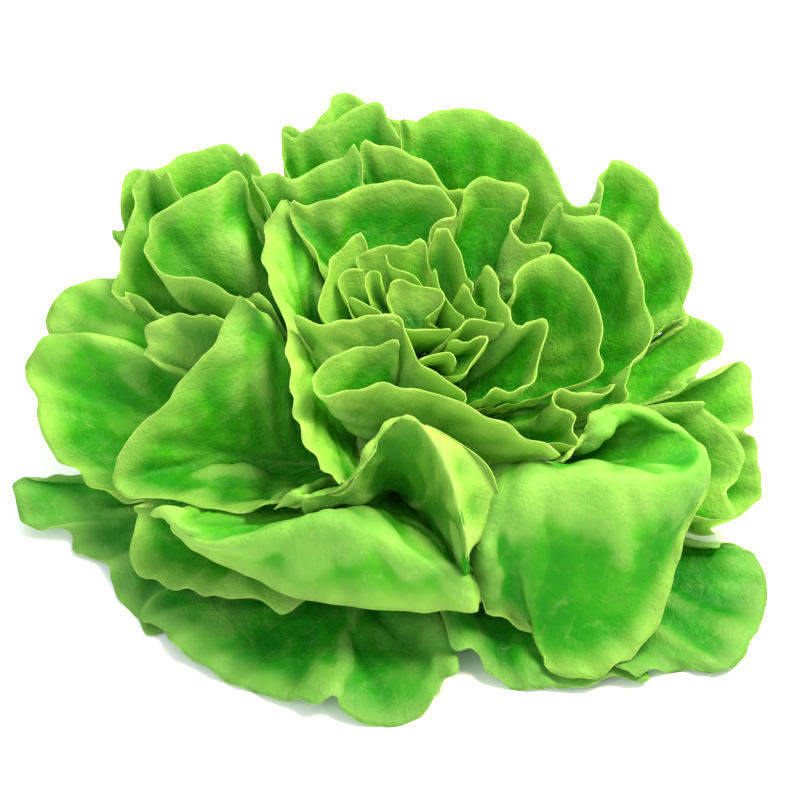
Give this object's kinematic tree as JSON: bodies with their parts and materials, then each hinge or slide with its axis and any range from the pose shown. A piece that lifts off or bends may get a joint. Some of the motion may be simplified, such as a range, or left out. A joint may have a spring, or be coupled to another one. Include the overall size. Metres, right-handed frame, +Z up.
{
  "type": "butterhead lettuce",
  "caption": "Open head of butterhead lettuce: broad soft leaves with waved rims spread from a short cut stem round a folded heart.",
  "frame": {"origin": "on the surface it lies on, under the middle of the stem's cut face", "axes": "+Z up along the stem, -Y towards the open front with the hanging leaves, +X to the right seen from the front"},
  "size_m": [0.29, 0.2565, 0.1173],
  "materials": {
    "low_leaf": "waxy deep green leaf",
    "outer_leaf": "waxy mid green leaf",
    "ring_leaf": "waxy bright green leaf",
    "heart_leaf": "soft yellow-green leaf",
    "stem": "pale moist cut stem"
  },
  "bodies": {
    "root": {"front_low_leaf": "low_leaf", "front_right_low_leaf": "low_leaf", "right_low_leaf": "low_leaf", "left_low_leaf": "low_leaf", "back_low_leaf": "low_leaf", "back_left_low_leaf": "low_leaf", "back_right_low_leaf": "low_leaf", "back_outer_leaf": "outer_leaf", "back_left_outer_leaf": "outer_leaf", "back_right_outer_leaf": "outer_leaf", "left_outer_leaf": "outer_leaf", "right_outer_leaf": "outer_leaf", "back_left_leaf": "outer_leaf", "left_upper_leaf": "outer_leaf", "right_back_leaf": "outer_leaf", "back_leaf": "outer_leaf", "back_right_leaf": "outer_leaf", "right_small_leaf": "outer_leaf", "left_folded_leaf": "outer_leaf", "right_side_leaf": "outer_leaf", "front_left_leaf": "outer_leaf", "left_front_leaf": "outer_leaf", "left_small_leaf": "outer_leaf", "front_hanging_leaf": "outer_leaf", "front_right_leaf": "outer_leaf", "left_cup_leaf": "outer_leaf", "back_middle_leaf": "outer_leaf", "right_pale_leaf": "outer_leaf", "back_dark_leaf": "outer_leaf", "back_inner_leaf": "ring_leaf", "front_cup_leaf": "ring_leaf", "right_curl_leaf": "ring_leaf", "left_ring_leaf": "ring_leaf", "back_ring_leaf": "ring_leaf", "back_twisted_leaf": "ring_leaf", "right_tulip_leaf": "ring_leaf", "front_ring_leaf": "ring_leaf", "right_inner_leaf": "ring_leaf", "front_inner_leaf": "ring_leaf", "heart": "heart_leaf", "stem": "stem"}
  },
  "joints": []
}
